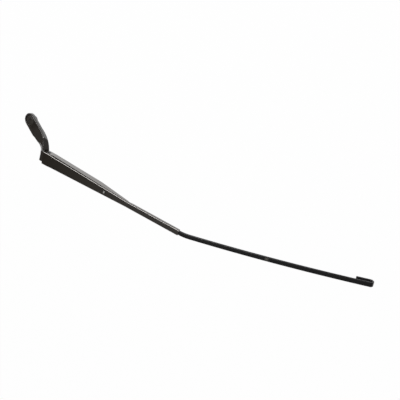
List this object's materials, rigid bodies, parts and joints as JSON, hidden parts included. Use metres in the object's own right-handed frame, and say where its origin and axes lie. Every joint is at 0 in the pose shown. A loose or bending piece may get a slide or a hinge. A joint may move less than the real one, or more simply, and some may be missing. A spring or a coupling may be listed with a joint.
{
  "type": "windscreen wiper arm",
  "caption": "Black car windscreen wiper arm: cast mounting head, hinged pressed-steel channel with a tension spring inside, and a bowed flat bar ending in a hook for the blade.",
  "frame": {"origin": "on the spindle axis, at the lower face of the mounting head's hub", "axes": "+Z out along the spindle, away from the car; +X along the channel towards the hook as seen from above; +Y completes a right-handed frame"},
  "size_m": [0.683, 0.0891, 0.1284],
  "materials": {
    "cast_black": "die-cast aluminium, satin black coat",
    "cap_plastic": "moulded black plastic, fine grain",
    "bush_plastic": "natural acetal",
    "zinc_steel": "zinc-plated steel",
    "channel_black": "pressed steel sheet, satin black powder coat",
    "rivet_black": "steel rivet under the black coat",
    "bar_black": "flat steel bar, satin black coat",
    "spring_steel": "phosphated spring wire"
  },
  "bodies": {
    "head": {"head": "cast_black", "nut_cap": "cap_plastic", "bush_left": "bush_plastic", "bush_right": "bush_plastic", "link_pin": "zinc_steel"},
    "arm": {"channel": "channel_black", "hinge_pin": "rivet_black", "hook_bar": "bar_black", "bar_rivet": "rivet_black"},
    "link": {"spring_link": "zinc_steel"},
    "spring": {"tension_spring": "spring_steel"}
  },
  "joints": [
    {"name": "arm_lift", "type": "hinge", "parent": "head", "child": "arm", "pos_m": [0.062, -0.051, 0.01265], "axis": [0, -1, 0], "range_deg": [0, 50], "stiffness_Nm_per_rad": 1.87, "springref_deg": -35.52},
    {"name": "link_swing", "type": "hinge", "parent": "head", "child": "link", "pos_m": [0.0666, -0.051, 0.00905], "axis": [0, -1, 0], "range_deg": [0, 52]},
    {"name": "spring_stretch", "type": "slide", "parent": "link", "child": "spring", "axis": [0.9906, 0, -0.1367], "range_m": [0, 0.0042], "deforming": ["tension_spring"]}
  ],
  "couplings": [
    {"joint": "link_swing", "follows": "arm_lift", "ratio": 1.0243},
    {"joint": "spring_stretch", "follows": "arm_lift", "m_per_rad": 0.00469}
  ]
}
